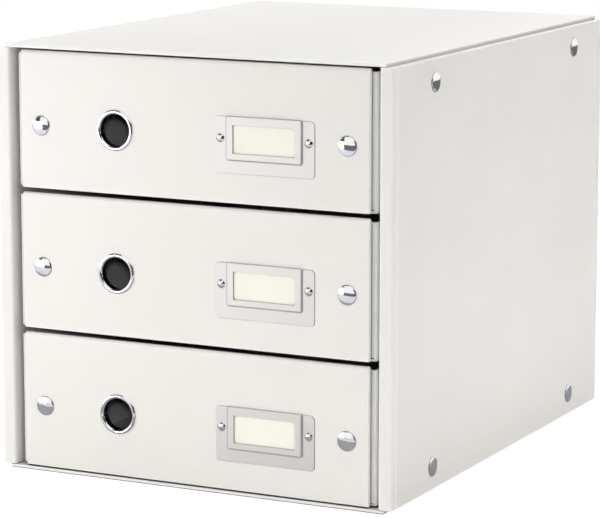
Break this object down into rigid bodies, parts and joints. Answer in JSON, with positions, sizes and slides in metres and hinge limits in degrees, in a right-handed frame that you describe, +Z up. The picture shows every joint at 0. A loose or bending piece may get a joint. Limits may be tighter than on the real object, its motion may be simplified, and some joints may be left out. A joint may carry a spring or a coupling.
{
  "type": "desk drawer unit",
  "caption": "White desk cabinet of folded board with sliding drawers, each with a metal finger ring, a label holder with a card, and press studs.",
  "frame": {"origin": "centre of the underside of the bottom panel", "axes": "+Z up, drawers open towards -Y, +X to the right of a person at the drawers"},
  "size_m": [0.2868, 0.3552, 0.282],
  "materials": {
    "white_foil_board": "satin white foil over solid grey board",
    "tray_board": "matte light grey paper over solid grey board",
    "dark_board": "matte dark paper on solid grey board",
    "chrome": "polished chrome plate",
    "nickel": "nickel plate",
    "satin_steel": "satin nickel-plated stamped steel",
    "card": "uncoated cream card"
  },
  "bodies": {
    "cabinet": {"left_side_panel": "white_foil_board", "right_side_panel": "white_foil_board", "top_panel": "white_foil_board", "bottom_panel": "white_foil_board", "back_panel": "white_foil_board", "lower_shelf": "dark_board", "upper_shelf": "dark_board", "left_stud_caps": "chrome", "left_stud_sockets": "nickel", "left_stud_posts": "nickel", "right_stud_caps": "chrome", "right_stud_sockets": "nickel", "right_stud_posts": "nickel"},
    "lower_drawer": {"lower_tray": "tray_board", "lower_front": "white_foil_board", "lower_finger_ring": "chrome", "lower_ring_washer": "nickel", "lower_label_holder": "satin_steel", "lower_holder_rivets": "satin_steel", "lower_stud_caps": "chrome", "lower_stud_sockets": "nickel", "lower_stud_posts": "nickel"},
    "lower_card": {"lower_label_card": "card"},
    "middle_drawer": {"middle_tray": "tray_board", "middle_front": "white_foil_board", "middle_finger_ring": "chrome", "middle_ring_washer": "nickel", "middle_label_holder": "satin_steel", "middle_holder_rivets": "satin_steel", "middle_stud_caps": "chrome", "middle_stud_sockets": "nickel", "middle_stud_posts": "nickel"},
    "middle_card": {"middle_label_card": "card"},
    "upper_drawer": {"upper_tray": "tray_board", "upper_front": "white_foil_board", "upper_finger_ring": "chrome", "upper_ring_washer": "nickel", "upper_label_holder": "satin_steel", "upper_holder_rivets": "satin_steel", "upper_stud_caps": "chrome", "upper_stud_sockets": "nickel", "upper_stud_posts": "nickel"},
    "upper_card": {"upper_label_card": "card"}
  },
  "joints": [
    {"name": "lower_drawer_slide", "type": "slide", "parent": "cabinet", "child": "lower_drawer", "axis": [0, -1, 0], "range_m": [0, 0.24]},
    {"name": "lower_card_slide", "type": "slide", "parent": "lower_drawer", "child": "lower_card", "axis": [0, 0, 1], "range_m": [0, 0.022]},
    {"name": "middle_drawer_slide", "type": "slide", "parent": "cabinet", "child": "middle_drawer", "axis": [0, -1, 0], "range_m": [0, 0.24]},
    {"name": "middle_card_slide", "type": "slide", "parent": "middle_drawer", "child": "middle_card", "axis": [0, 0, 1], "range_m": [0, 0.022]},
    {"name": "upper_drawer_slide", "type": "slide", "parent": "cabinet", "child": "upper_drawer", "axis": [0, -1, 0], "range_m": [0, 0.24]},
    {"name": "upper_card_slide", "type": "slide", "parent": "upper_drawer", "child": "upper_card", "axis": [0, 0, 1], "range_m": [0, 0.022]}
  ]
}
